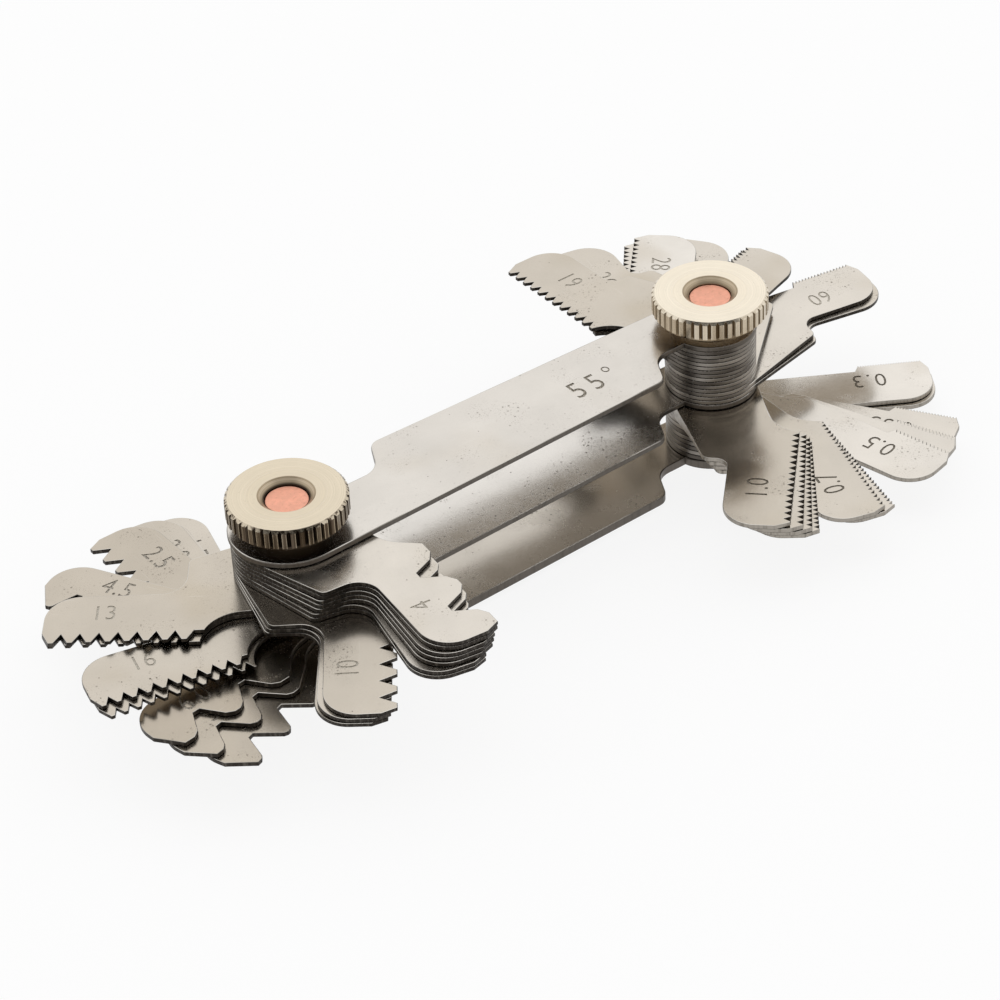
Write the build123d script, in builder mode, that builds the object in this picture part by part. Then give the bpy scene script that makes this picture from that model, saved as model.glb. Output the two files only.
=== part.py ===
# Screw pitch gauge: 52 thin toothed blades that fan out from two studs between three body plates.
# The upper tier holds 28 Whitworth blades (55 degrees), the lower tier 24 metric blades (60 degrees).
# Frame: millimetres, +Z up, +X from the coarse stud to the fine stud, the origin at the centre of
# the coarse stud's lower head, on the surface that the gauge rests on.
from build123d import *
import math
import os

# Studs and body plates
stud_spacing = 56.6
stud_radius = 2.3
coarse_end_radius = 6.5
fine_end_radius = 5.2
plate_thickness = 0.65
base_thickness = 1.05
coarse_x = 0
fine_x = stud_spacing
head_radius = 4.0
head_height = 0.8

# Finger notches of the plates: the blades are picked out of the pack there
notch_reach = 14.6
fine_notch_reach = 11.0
notch_floor = 1.85
fine_notch_floor = 1.45
notch_slope = 63.0
notch_floor_radius = 2.6
notch_corner_radius = 1.5
notch_root_radius = 0.5

# Thumb nuts
nut_radius = 6.45
nut_height = 2.5
nut_rim_chamfer = 0.3
nut_lip_height = 0.35
nut_lip_step = 0.3
collar_radius = 4.1
collar_height = 1.45
collar_gap = 0.05
recess_mouth_radius = 3.05
recess_depth = 0.6
stud_set_back = 0.7
knurl_count = 44
knurl_width = 0.42
knurl_depth = 0.24

# Blade stacks
whitworth_thickness = 0.46
metric_thickness = 0.54
blade_gap = 0.05
stud_clearance = 0.05

# Blade outline, measured from the stud: along the blade, and across it towards the teeth
bar_width = 7.4
blade_reach = 25.4
blade_crest = 10.8
neck_angle = 23.0
coarse_disc_radius = 6.3
fine_disc_radius = 5.1
coarse_shoulder = 11.1
fine_shoulder = 13.9
shoulder_corner_radius = 0.9
shoulder_root_radius = 2.6
shoulder_root_share = 0.8
tip_radius = 3.6
tip_setback = 0.75
tip_drop = 1.6
wide_tip_setback = 1.75
wide_tip_drop = 2.9
throat_across = 11.1
throat_radius = 4.4
coarse_throat_along = 4.6
fine_throat_along = 4.0
open_throat_angle = -40.0
throat_margin = 0.02
short_row_length = 7.2
short_row_relief = 1.1
short_row_pitch = 0.56

# Tooth form: sharp teeth when fine, flat crests when medium, flat crests and roots when coarse
sharp_limit = 0.69
flat_root_limit = 3.1
medium_depth_share = 0.69
coarse_depth_share = 0.62
coarse_depth_limit = 2.95
root_flat_share = 0.14
crest_chamfer_share = 0.3

inch = 25.4
metric_unit = 1.0
whitworth_angle = 55.0
metric_angle = 60.0

# Threads per inch, fan angle, and shares of the blade's reach and crest line of each Whitworth
# blade, from the top down
whitworth_coarse = [
    (4, -96.5, 1.000, 0.954),
    (4.5, -96.7, 1.000, 0.954),
    (5, -98.3, 1.000, 0.972),
    (6, -98.7, 1.000, 0.972),
    (7, -99.5, 1.000, 0.981),
    (8, -102.0, 1.000, 0.991),
    (9, -102.5, 1.000, 1.000),
    (10, -125.7, 1.000, 1.000),
    (11, -127.3, 0.996, 1.000),
    (12, -128.0, 0.996, 1.000),
    (13, 142.8, 1.000, 1.000),
    (14, 142.2, 1.000, 1.000),
    (16, 166.2, 1.000, 1.000),
    (18, 169.2, 1.004, 1.000),
]
whitworth_fine = [
    (19, 90.3, 0.953, 0.944),
    (20, 77.0, 0.858, 0.944),
    (22, 76.5, 0.858, 0.944),
    (24, 77.5, 0.850, 0.944),
    (25, 76.0, 0.850, 0.944),
    (26, 78.0, 0.843, 0.944),
    (28, 46.5, 0.906, 0.944),
    (30, 49.5, 0.890, 0.944),
    (32, 35.5, 0.890, 0.944),
    (36, 36.5, 0.890, 0.944),
    (40, 17.0, 0.902, 0.870),
    (48, 18.0, 0.902, 0.889),
    (60, -10.1, 0.988, 0.991),
    (62, -12.3, 0.988, 0.991),
]
# Pitch, fan angle, and shares of the reach and crest line of each metric blade, from the top down
metric_coarse = [
    (6.0, -173.1, 0.996, 0.935),
    (5.5, -165.9, 0.996, 0.954),
    (5.0, -158.9, 0.980, 1.037),
    (4.5, 118.5, 1.043, 0.935),
    (4.0, 120.0, 0.992, 0.981),
    (3.5, 117.5, 0.992, 0.981),
    (3.0, 118.3, 0.992, 0.981),
    (2.5, 90.5, 1.012, 0.954),
    (2.0, 82.4, 0.984, 0.985),
    (1.75, 81.0, 0.980, 0.985),
    (1.5, 75.0, 0.980, 0.985),
    (1.25, 76.0, 0.980, 0.985),
]
metric_fine = [
    (1.0, -134.9, 1.000, 0.972),
    (0.9, -132.6, 1.004, 1.009),
    (0.8, -130.6, 1.004, 1.019),
    (0.75, -128.5, 1.004, 1.009),
    (0.7, -108.1, 1.016, 0.935),
    (0.6, -104.5, 1.024, 0.917),
    (0.5, -77.5, 1.051, 0.870),
    (0.45, -70.5, 1.051, 0.870),
    (0.4, -68.0, 1.051, 0.870),
    (0.35, -58.0, 1.059, 0.843),
    (0.3, -31.5, 1.043, 0.833),
    (0.25, -32.8, 1.047, 0.833),
]

# Heights, from the surface that the gauge rests on
base_bottom = head_height
base_top = base_bottom + base_thickness
metric_pitch = metric_thickness + blade_gap
middle_bottom = base_top + blade_gap + len(metric_fine) * metric_pitch
middle_top = middle_bottom + plate_thickness
whitworth_pitch = whitworth_thickness + blade_gap
top_bottom = middle_top + blade_gap + len(whitworth_fine) * whitworth_pitch
top_top = top_bottom + plate_thickness
gauge_height = top_top + collar_gap + collar_height + nut_height

os.makedirs("parts", exist_ok=True)


def polar(radius, degrees, center=(0.0, 0.0)):
    """Point at a radius and angle from a centre."""
    angle = math.radians(degrees)
    return (center[0] + radius * math.cos(angle), center[1] + radius * math.sin(angle))


def corner_arc(before, corner, after, radius):
    """Start, middle and end of the arc that rounds the corner between two straight lines."""
    back = Vector(*before) - Vector(*corner)
    onward = Vector(*after) - Vector(*corner)
    back = back.normalized()
    onward = onward.normalized()
    half = math.radians(back.get_angle(onward)) / 2
    bisector = (back + onward).normalized()
    apex = Vector(*corner)
    center = apex + bisector * (radius / math.sin(half))
    run = radius / math.tan(half)
    start = apex + back * run
    middle = center - bisector * radius
    end = apex + onward * run
    return [(point.X, point.Y) for point in (start, middle, end)]


def tooth_form(pitch, angle):
    """Depth, crest width and root width of the teeth for one pitch."""
    slope = math.tan(math.radians(angle / 2))
    if pitch < sharp_limit:
        return pitch / 2 / slope, 0.0, 0.0
    if pitch < flat_root_limit:
        depth = medium_depth_share * pitch
        return depth, pitch - 2 * depth * slope, 0.0
    depth = min(coarse_depth_share * pitch, coarse_depth_limit)
    root = root_flat_share * pitch
    return depth, pitch - 2 * depth * slope - root, root


def tooth_row(pitch, angle, first, crest_line, row_end):
    """Points of the toothed edge, from the tip of the blade towards its stud."""
    depth, crest, root = tooth_form(pitch, angle)
    chamfer = crest_chamfer_share * crest if root > 0 else 0
    short = pitch < short_row_pitch
    length = short_row_length if short else first - row_end
    teeth = math.floor(length / pitch)
    flank = (pitch - crest - root) / 2
    slope = flank / depth
    points = [(first, crest_line)]
    for tooth in range(teeth):
        start = first - tooth * pitch
        if chamfer > 0:
            points.append((start - crest + chamfer, crest_line))
            points.append((start - crest - chamfer * slope, crest_line - chamfer))
        elif crest > 0:
            points.append((start - crest, crest_line))
        points.append((start - crest - flank, crest_line - depth))
        if root > 0:
            points.append((start - crest - flank - root, crest_line - depth))
        if chamfer > 0:
            points.append((start - pitch + chamfer * slope, crest_line - chamfer))
            points.append((start - pitch - chamfer, crest_line))
        else:
            points.append((start - pitch, crest_line))
    end = first - teeth * pitch
    last_root = end - crest - flank
    if root == 0 and not short and last_root > row_end:
        points.append((end - crest, crest_line))
        points.append((last_root, crest_line - depth))
    if short:
        points.append((end - short_row_relief / 2, crest_line - short_row_relief))
    if root > 0:
        points.append((end - crest, crest_line))
    return points


def blade_outline(pitch, angle, reach, crest_line, coarse_end):
    """Closed outline of one blade about its stud, teeth on the left of its own direction."""
    disc_radius = coarse_disc_radius if coarse_end else fine_disc_radius
    shoulder = coarse_shoulder if coarse_end else fine_shoulder
    throat_along = coarse_throat_along if coarse_end else fine_throat_along
    throat = (throat_along, throat_across)
    wide_tip = angle == metric_angle and pitch > flat_root_limit
    setback = wide_tip_setback if wide_tip else tip_setback
    drop = wide_tip_drop if wide_tip else tip_drop

    # Back of the neck: a line that leaves the disc, a shoulder and the straight back
    back_line = crest_line - bar_width
    lean = math.radians(neck_angle)
    neck_corner = (shoulder, (shoulder * math.sin(lean) - disc_radius) / math.cos(lean))
    neck_start = polar(disc_radius, neck_angle - 90)
    shoulder_root = (shoulder, back_line)
    back_corner = (reach, back_line)
    tip_top = (reach, crest_line - drop)
    step = back_line - neck_corner[1] - shoulder_corner_radius
    root_radius = min(shoulder_root_radius, shoulder_root_share * step)
    outer = corner_arc(neck_start, neck_corner, shoulder_root, shoulder_corner_radius)
    inner = corner_arc(neck_corner, shoulder_root, back_corner, root_radius)
    tip = corner_arc(shoulder_root, back_corner, tip_top, tip_radius)

    # Throat between the teeth and the disc: a scoop and the line that meets the disc
    row_end = throat_along + throat_radius + throat_margin
    row = tooth_row(pitch, angle, reach - setback, crest_line, row_end)
    rise = throat_across - row[-1][1]
    entry_angle = -math.degrees(math.asin(rise / throat_radius))
    if pitch > flat_root_limit:
        entry_angle = open_throat_angle
    throat_entry = polar(throat_radius, entry_angle, throat)
    bearing = math.degrees(math.atan2(throat_across, throat_along))
    spread = math.degrees(math.asin((disc_radius + throat_radius) / math.hypot(*throat)))
    throat_exit_angle = bearing - spread - 90
    throat_middle = polar(throat_radius, (entry_angle + throat_exit_angle) / 2, throat)
    throat_exit = polar(throat_radius, throat_exit_angle, throat)
    disc_end_angle = bearing - spread + 90
    disc_end = polar(disc_radius, disc_end_angle)
    disc_middle = polar(disc_radius, (disc_end_angle + neck_angle + 270) / 2)

    with BuildLine() as outline:
        Line(neck_start, outer[0])
        ThreePointArc(*outer)
        Line(outer[2], inner[0])
        ThreePointArc(*inner)
        Line(inner[2], tip[0])
        ThreePointArc(*tip)
        Polyline(tip[2], tip_top, *row, throat_entry)
        ThreePointArc(throat_entry, throat_middle, throat_exit)
        Line(throat_exit, disc_end)
        ThreePointArc(disc_end, disc_middle, neck_start)
    return outline.line


def write(name, piece):
    """Label a finished piece and write it."""
    piece.part.label = name
    export_step(piece.part, f"parts/{name}.step")


def write_stack(prefix, blades, angle, stack_top, thickness, stud_x):
    """Write the blades of one stack, from the top down."""
    for layer, (size, fan_angle, reach_share, crest_share) in enumerate(blades):
        pitch = inch / size if prefix == "whitworth" else size * metric_unit
        reach = reach_share * blade_reach
        crest_line = crest_share * blade_crest
        bottom = stack_top - (layer + 1) * (thickness + blade_gap)
        plane = Plane(origin=(stud_x, 0, bottom), x_dir=(*polar(1, fan_angle), 0), z_dir=(0, 0, 1))
        with BuildPart() as blade:
            with BuildSketch(plane):
                add(blade_outline(pitch, angle, reach, crest_line, stud_x == coarse_x))
                make_face()
                Circle(stud_radius + stud_clearance, mode=Mode.SUBTRACT)
            extrude(amount=thickness)
        label = f"{size:g}".replace(".", "_")
        write(f"{prefix}_blade_{label}", blade)


def plate_outline():
    """Closed outline of a body plate: two round ends, tapered sides and two finger notches."""
    taper = math.degrees(math.asin((coarse_end_radius - fine_end_radius) / stud_spacing))
    coarse_center = (coarse_x, 0)
    fine_center = (fine_x, 0)
    near_start = polar(coarse_end_radius, taper - 90, coarse_center)
    near_end = polar(fine_end_radius, taper - 90, fine_center)
    far_start = polar(fine_end_radius, 90 - taper, fine_center)
    far_end = polar(coarse_end_radius, 90 - taper, coarse_center)

    def side_point(start, end, x):
        share = (x - start[0]) / (end[0] - start[0])
        return (x, start[1] + share * (end[1] - start[1]))

    def notch(corner, side, toward, end_radius, center, floor):
        """Rounded corner, slope and floor of a notch that opens towards one stud."""
        run = (abs(corner[1]) - floor) / math.tan(math.radians(notch_slope))
        foot = (corner[0] + toward * run, side * floor)
        floor_end = (center[0] - toward * math.sqrt(end_radius**2 - floor**2), side * floor)
        return foot, floor_end

    near_corner = side_point(near_start, near_end, fine_x - fine_notch_reach)
    near_foot, near_floor = notch(
        near_corner, -1, 1, fine_end_radius, fine_center, fine_notch_floor
    )
    far_corner = side_point(far_start, far_end, coarse_x + notch_reach)
    far_foot, far_floor = notch(far_corner, 1, -1, coarse_end_radius, coarse_center, notch_floor)

    near_round = corner_arc(near_start, near_corner, near_foot, notch_corner_radius)
    near_scoop = corner_arc(near_corner, near_foot, near_floor, notch_floor_radius)
    far_round = corner_arc(far_start, far_corner, far_foot, notch_corner_radius)
    far_scoop = corner_arc(far_corner, far_foot, far_floor, notch_floor_radius)
    fine_bearing = math.degrees(math.atan2(near_floor[1], near_floor[0] - fine_x)) % 360
    coarse_bearing = math.degrees(math.atan2(far_floor[1], far_floor[0] - coarse_x))
    fine_middle = polar(fine_end_radius, (fine_bearing - 360 + 90 - taper) / 2, fine_center)
    coarse_middle = polar(coarse_end_radius, (coarse_bearing + 270 + taper) / 2, coarse_center)

    with BuildLine() as outline:
        Line(near_start, near_round[0])
        ThreePointArc(*near_round)
        Line(near_round[2], near_scoop[0])
        ThreePointArc(*near_scoop)
        Line(near_scoop[2], near_floor)
        ThreePointArc(near_floor, fine_middle, far_start)
        Line(far_start, far_round[0])
        ThreePointArc(*far_round)
        Line(far_round[2], far_scoop[0])
        ThreePointArc(*far_scoop)
        Line(far_scoop[2], far_floor)
        ThreePointArc(far_floor, coarse_middle, near_start)
    return outline.line


def write_plate(name, bottom, thickness):
    """Write one body plate with its two stud holes."""
    with BuildPart() as plate:
        with BuildSketch(Plane.XY.offset(bottom)):
            add(plate_outline())
            make_face()
            with Locations((coarse_x, 0), (fine_x, 0)):
                Circle(stud_radius, mode=Mode.SUBTRACT)
        extrude(amount=thickness)
    write(name, plate)


def nut_section(stud_x, seat):
    """Half section of a thumb nut beside its stud: collar on the plate, lip, knurled head, recess."""
    bore = stud_radius + stud_clearance
    collar_top = seat + collar_height
    lip_top = collar_top + nut_lip_height
    face = collar_top + nut_height
    points = [
        (bore, seat),
        (collar_radius, seat),
        (collar_radius, collar_top),
        (nut_radius - nut_lip_step, collar_top),
        (nut_radius - nut_lip_step, lip_top),
        (nut_radius, lip_top),
        (nut_radius, face - nut_rim_chamfer),
        (nut_radius - nut_rim_chamfer, face),
        (recess_mouth_radius, face),
        (bore, face - recess_depth),
    ]
    return [(stud_x + radius, height) for radius, height in points]


def write_thumb_nut(name, stud_x):
    """Write one thumb nut with a straight knurl of small V grooves round its head."""
    seat = top_top + collar_gap
    groove = [
        (-knurl_depth, 0),
        (knurl_depth, knurl_width),
        (knurl_depth, -knurl_width),
    ]
    with BuildPart() as nut:
        with BuildSketch(Plane.XZ):
            with BuildLine():
                Polyline(*nut_section(stud_x, seat), close=True)
            make_face()
        revolve(axis=Axis((stud_x, 0, 0), (0, 0, 1)))
        with BuildSketch(Plane.XY.offset(seat + collar_height + nut_lip_height)):
            with Locations((stud_x, 0)):
                with PolarLocations(nut_radius, knurl_count):
                    Polygon(*groove, align=None)
        extrude(amount=nut_height, mode=Mode.SUBTRACT)
    write(name, nut)


write_stack("whitworth", whitworth_coarse, whitworth_angle, top_bottom, whitworth_thickness, coarse_x)
write_stack("whitworth", whitworth_fine, whitworth_angle, top_bottom, whitworth_thickness, fine_x)
write_stack("metric", metric_coarse, metric_angle, middle_bottom, metric_thickness, coarse_x)
write_stack("metric", metric_fine, metric_angle, middle_bottom, metric_thickness, fine_x)

write_plate("base_plate", base_bottom, base_thickness)
write_plate("middle_plate", middle_bottom, plate_thickness)
write_plate("top_plate", top_bottom, plate_thickness)

# Studs: plain rods with a low round head under the base plate, a little short of the nut faces
with BuildPart() as studs:
    with BuildSketch(Plane.XY):
        with Locations((coarse_x, 0), (fine_x, 0)):
            Circle(head_radius)
    extrude(amount=head_height)
    with BuildSketch(Plane.XY.offset(head_height)):
        with Locations((coarse_x, 0), (fine_x, 0)):
            Circle(stud_radius)
    extrude(amount=gauge_height - stud_set_back - head_height)
write("pivot_studs", studs)

write_thumb_nut("coarse_thumb_nut", coarse_x)
write_thumb_nut("fine_thumb_nut", fine_x)
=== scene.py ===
"""Screw pitch gauge: the looks of its blades, body plates, thumb nuts and studs, and a plain studio."""

import math

import bmesh
import bpy
import numpy as np
from bpy.props import FloatProperty, FloatVectorProperty, IntProperty, PointerProperty
from mathutils import Matrix, Vector


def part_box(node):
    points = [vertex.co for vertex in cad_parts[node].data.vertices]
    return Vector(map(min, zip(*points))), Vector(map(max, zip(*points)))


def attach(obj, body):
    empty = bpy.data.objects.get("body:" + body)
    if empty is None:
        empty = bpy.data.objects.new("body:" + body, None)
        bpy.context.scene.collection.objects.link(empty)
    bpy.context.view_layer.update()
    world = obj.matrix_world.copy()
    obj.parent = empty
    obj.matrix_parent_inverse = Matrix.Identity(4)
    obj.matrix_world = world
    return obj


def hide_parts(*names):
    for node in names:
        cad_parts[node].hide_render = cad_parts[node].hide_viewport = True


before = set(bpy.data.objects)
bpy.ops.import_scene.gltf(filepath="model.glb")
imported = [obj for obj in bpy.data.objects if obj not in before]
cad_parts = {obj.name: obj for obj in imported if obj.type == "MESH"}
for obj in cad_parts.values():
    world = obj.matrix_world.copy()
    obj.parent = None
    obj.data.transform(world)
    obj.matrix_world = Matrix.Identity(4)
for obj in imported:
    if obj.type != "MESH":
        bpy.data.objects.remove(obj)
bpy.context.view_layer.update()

bl_info = {
    "name": "Screw Pitch Gauge",
    "version": (1, 0, 0),
    "blender": (4, 5, 0),
    "location": "View3D > Sidebar > Pitch Gauge",
    "description": "Dresses the packed screw pitch gauge with stamped blades, knurled nuts and steel",
    "category": "Object",
}

MM = 0.001
UV_NAME = "flat"
SHIFT_NAME = "pattern_shift"
LIGHTNESS_NAME = "steel_lightness"
FLOOR_GLOW = 0.87
KNURL_COUNT = 44
KNURL_RADIUS = 0.645

# Places on the flat map, in centimetres: where a fine metric blade's toothed side begins, where its
# tip wall begins, the strip of wear along the middle plate's near side, the stretch of it that leads to
# the right notch, and the nuts' inner and outer dish: painted shadow lies inside the inner edge, and a
# painted highlight on the chamfers beyond the outer edge
TOOTHED_SIDE = (0.78, 0.84)
BLADE_TIP = (2.44, 2.48)
WORN_STRIP = (-0.5, 0.1)
TO_RIGHT_NOTCH = (1.0, 3.4)
DISH_FLOOR = (0.24, 0.262)
DISH_RIM = (0.4, 0.45)

# Stamped number, fan angle in degrees, the number's place along and across the blade in mm, and how
# light the blade's steel is
WHITWORTH_COARSE = {
    "whitworth_blade_4": ("4", -96.5, 18.3, 5.35, 0.97),
    "whitworth_blade_4_5": ("4.5", -96.7, 18.2, 5.5, 0.95),
    "whitworth_blade_5": ("5", -98.3, 18.4, 5.6, 0.93),
    "whitworth_blade_6": ("6", -98.7, 18.3, 5.6, 0.96),
    "whitworth_blade_7": ("7", -99.5, 18.4, 5.8, 0.92),
    "whitworth_blade_8": ("8", -102.0, 18.2, 5.9, 0.94),
    "whitworth_blade_9": ("9", -102.5, 18.3, 6.0, 0.9),
    "whitworth_blade_10": ("10", -125.7, 18.4, 5.98, 0.8),
    "whitworth_blade_11": ("11", -127.3, 18.3, 6.0, 0.84),
    "whitworth_blade_12": ("12", -128.0, 18.4, 6.1, 0.81),
    "whitworth_blade_13": ("13", 142.8, 19.25, 6.33, 0.79),
    "whitworth_blade_14": ("14", 142.2, 18.7, 6.2, 0.76),
    "whitworth_blade_16": ("16", 166.2, 18.8, 6.09, 0.83),
    "whitworth_blade_18": ("18", 169.2, 18.6, 6.2, 0.8),
}
WHITWORTH_FINE = {
    "whitworth_blade_19": ("19", 90.3, 17.5, 6.09, 0.82),
    "whitworth_blade_20": ("20", 77.0, 14.6, 6.1, 0.86),
    "whitworth_blade_22": ("22", 76.5, 14.6, 6.0, 0.84),
    "whitworth_blade_24": ("24", 77.5, 14.7, 6.1, 0.87),
    "whitworth_blade_25": ("25", 76.0, 16.4, 6.1, 0.83),
    "whitworth_blade_26": ("26", 78.0, 16.5, 6.0, 0.88),
    "whitworth_blade_28": ("28", 46.5, 16.87, 6.84, 1.08),
    "whitworth_blade_30": ("30", 49.5, 16.5, 6.2, 0.97),
    "whitworth_blade_32": ("32", 35.5, 16.6, 6.1, 0.92),
    "whitworth_blade_36": ("36", 36.5, 16.4, 6.2, 0.95),
    "whitworth_blade_40": ("40", 17.0, 16.9, 5.6, 0.9),
    "whitworth_blade_48": ("48", 18.0, 17.0, 5.7, 0.93),
    "whitworth_blade_60": ("60", -10.1, 18.1, 6.27, 0.97),
    "whitworth_blade_62": ("62", -12.3, 18.0, 6.3, 0.93),
}
METRIC_COARSE = {
    "metric_blade_6": ("6.0", -173.1, 18.6, 5.6, 0.68),
    "metric_blade_5_5": ("5.5", -165.9, 18.5, 5.7, 0.72),
    "metric_blade_5": ("5.0", -158.9, 18.3, 6.3, 0.75),
    "metric_blade_4_5": ("4.5", 118.5, 18.9, 4.9, 0.76),
    "metric_blade_4": ("4.0", 120.0, 18.5, 5.4, 0.74),
    "metric_blade_3_5": ("3.5", 117.5, 18.6, 5.5, 0.76),
    "metric_blade_3": ("3.0", 118.3, 18.4, 5.6, 0.78),
    "metric_blade_2_5": ("2.5", 90.5, 18.7, 5.6, 0.74),
    "metric_blade_2": ("2.0", 82.4, 18.6, 5.9, 0.81),
    "metric_blade_1_75": ("1.75", 81.0, 18.4, 5.8, 0.83),
    "metric_blade_1_5": ("1.5", 75.0, 18.6, 5.9, 0.85),
    "metric_blade_1_25": ("1.25", 76.0, 18.5, 5.9, 0.84),
}
WIDE_SPACING = {"metric_blade_0_3": 1.15}
METRIC_FINE = {
    "metric_blade_1": ("1.0", -134.9, 18.9, 6.7, 0.8),
    "metric_blade_0_9": ("0.9", -132.6, 18.7, 6.2, 0.86),
    "metric_blade_0_8": ("0.8", -130.6, 18.8, 6.3, 0.84),
    "metric_blade_0_75": ("0.75", -128.5, 18.6, 6.3, 0.87),
    "metric_blade_0_7": ("0.7", -108.1, 19.29, 6.31, 0.87),
    "metric_blade_0_6": ("0.6", -104.5, 19.3, 5.9, 0.91),
    "metric_blade_0_5": ("0.5", -77.5, 19.16, 5.79, 1.04),
    "metric_blade_0_45": ("0.45", -70.5, 19.2, 5.6, 1.0),
    "metric_blade_0_4": ("0.4", -68.0, 19.3, 5.5, 1.02),
    "metric_blade_0_35": ("0.35", -58.0, 19.4, 5.5, 0.98),
    "metric_blade_0_3": ("0.3", -31.5, 19.28, 5.97, 1.06),
    "metric_blade_0_25": ("0.25", -32.8, 19.2, 5.8, 0.93),
}


# Helpers for meshes


def only(piece):
    """Select one object alone and make it active."""
    bpy.ops.object.select_all(action="DESELECT")
    piece.select_set(True)
    bpy.context.view_layer.objects.active = piece


def whole_copy(node, name):
    """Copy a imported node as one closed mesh, its flat faces made whole."""
    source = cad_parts[node]
    mesh = source.data.copy()
    mesh.transform(source.matrix_world)
    mesh.materials.clear()
    piece = bpy.data.objects.new(name, mesh)
    bpy.context.scene.collection.objects.link(piece)
    only(piece)
    if mesh.has_custom_normals:
        bpy.ops.mesh.customdata_custom_splitnormals_clear()
    bpy.ops.object.mode_set(mode="EDIT")
    bpy.ops.mesh.select_all(action="SELECT")
    bpy.ops.mesh.remove_doubles(threshold=0.0005 * MM)
    bpy.ops.mesh.dissolve_limited(angle_limit=math.radians(0.3))
    bpy.ops.object.mode_set(mode="OBJECT")
    return piece


def break_edges(piece, width, segments, wanted):
    """Bevel the edges that wanted(edge) picks, by narrow facets."""
    only(piece)
    bpy.ops.object.mode_set(mode="EDIT")
    bpy.ops.mesh.select_mode(type="EDGE")
    bpy.ops.mesh.select_all(action="DESELECT")
    shape = bmesh.from_edit_mesh(piece.data)
    shape.normal_update()
    for edge in shape.edges:
        if len(edge.link_faces) == 2 and wanted(edge):
            edge.select_set(True)
    bmesh.update_edit_mesh(piece.data)
    bpy.ops.mesh.bevel(offset=width, segments=segments, affect="EDGES", clamp_overlap=True)
    bpy.ops.object.mode_set(mode="OBJECT")


def rim(edge):
    """An edge between a flat top or bottom face and an upright wall."""
    slopes = sorted(abs(face.normal.z) for face in edge.link_faces)
    return slopes[0] < 0.05 and slopes[1] > 0.95


def corner(edge):
    """Any edge whose two faces turn by more than 30 degrees."""
    return edge.calc_face_angle(0) > math.radians(30)


def number_cutter(text, height, width_share, spacing, thinning, depth, place, turn):
    """A closed block of digits that reaches depth above and below its place."""
    bpy.ops.object.select_all(action="DESELECT")
    bpy.ops.object.text_add(location=(0, 0, 0))
    digits = bpy.context.object
    digits.data.body = text
    digits.data.size = height / 0.7
    digits.data.align_x = "CENTER"
    digits.data.align_y = "CENTER"
    digits.data.space_character = spacing
    digits.data.resolution_u = 3
    digits.data.offset = -thinning
    digits.data.extrude = depth
    bpy.ops.object.convert(target="MESH")
    digits = bpy.context.object
    only(digits)
    bpy.ops.object.mode_set(mode="EDIT")
    bpy.ops.mesh.select_all(action="SELECT")
    bpy.ops.mesh.remove_doubles(threshold=0.001 * MM)
    bpy.ops.mesh.normals_make_consistent(inside=False)
    bpy.ops.object.mode_set(mode="OBJECT")
    squeeze = Matrix.Diagonal((width_share, 1, 1, 1))
    digits.data.transform(Matrix.Translation(place) @ Matrix.Rotation(turn, 4, "Z") @ squeeze)
    return digits


def stamp(piece, cutter, groove):
    """Press the digits of cutter into piece and give the grooves their own finish."""
    cutter.data.materials.clear()
    cutter.data.materials.append(groove)
    only(piece)
    cut = piece.modifiers.new("stamp", "BOOLEAN")
    cut.operation = "DIFFERENCE"
    cut.solver = "MANIFOLD"
    cut.material_mode = "TRANSFER"
    cut.object = cutter
    before = len(piece.data.polygons)
    bpy.ops.object.modifier_apply(modifier=cut.name)
    if len(piece.data.polygons) <= before:
        raise RuntimeError(f"the number was not stamped into {piece.name}")
    bpy.data.objects.remove(cutter, do_unlink=True)


def lay_flat_map(piece, center, turn, shift, lightness=1.0):
    """A UV map in centimetres from the pivot, along and across the piece, and a shift and lightness
    of its own for its patterns, so that no two pieces look alike."""
    mesh = piece.data
    layer = mesh.uv_layers.get(UV_NAME) or mesh.uv_layers.new(name=UV_NAME)
    points = np.empty(len(mesh.vertices) * 3)
    mesh.vertices.foreach_get("co", points)
    points = points.reshape(-1, 3)[:, :2] - np.array(center)
    cosine, sine = math.cos(turn), math.sin(turn)
    flat = np.stack((points @ (cosine, sine), points @ (-sine, cosine)), axis=1) * 100
    corners = np.empty(len(mesh.loops), dtype=np.int32)
    mesh.loops.foreach_get("vertex_index", corners)
    layer.data.foreach_set("uv", flat[corners].astype(np.float32).ravel())
    moved = mesh.attributes.new(SHIFT_NAME, "FLOAT_VECTOR", "POINT")
    moved.data.foreach_set("vector", np.tile((*shift, 0.0), len(mesh.vertices)))
    tone = mesh.attributes.new(LIGHTNESS_NAME, "FLOAT", "POINT")
    tone.data.foreach_set("value", np.full(len(mesh.vertices), lightness))


def smooth(piece):
    """Smooth shading across gentle turns only."""
    only(piece)
    bpy.ops.object.shade_smooth_by_angle(angle=math.radians(14))


def hand_over(piece, node, body):
    """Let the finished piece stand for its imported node."""
    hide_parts(node)
    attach(piece, body)


def stud_place(nut):
    """Axis of a stud in the plane, from its thumb nut."""
    low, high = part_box(nut)
    return ((low[0] + high[0]) / 2, (low[1] + high[1]) / 2)


# Helpers for finishes


def fresh_finish(name):
    """A new material with its node tree and its surface shader."""
    finish = bpy.data.materials.new(name)
    finish.use_nodes = True
    tree = finish.node_tree
    return finish, tree, tree.nodes["Principled BSDF"]


def feed(tree, socket, value):
    """Join a socket to another, or set its number or colour."""
    if isinstance(value, bpy.types.NodeSocket):
        tree.links.new(value, socket)
    elif value is not None:
        socket.default_value = value


def add_math(tree, operation, a, b=None, c=None, clamp=False):
    """One Math node."""
    step = tree.nodes.new("ShaderNodeMath")
    step.operation = operation
    step.use_clamp = clamp
    for socket, value in zip(step.inputs, (a, b, c)):
        feed(tree, socket, value)
    return step.outputs[0]


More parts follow.
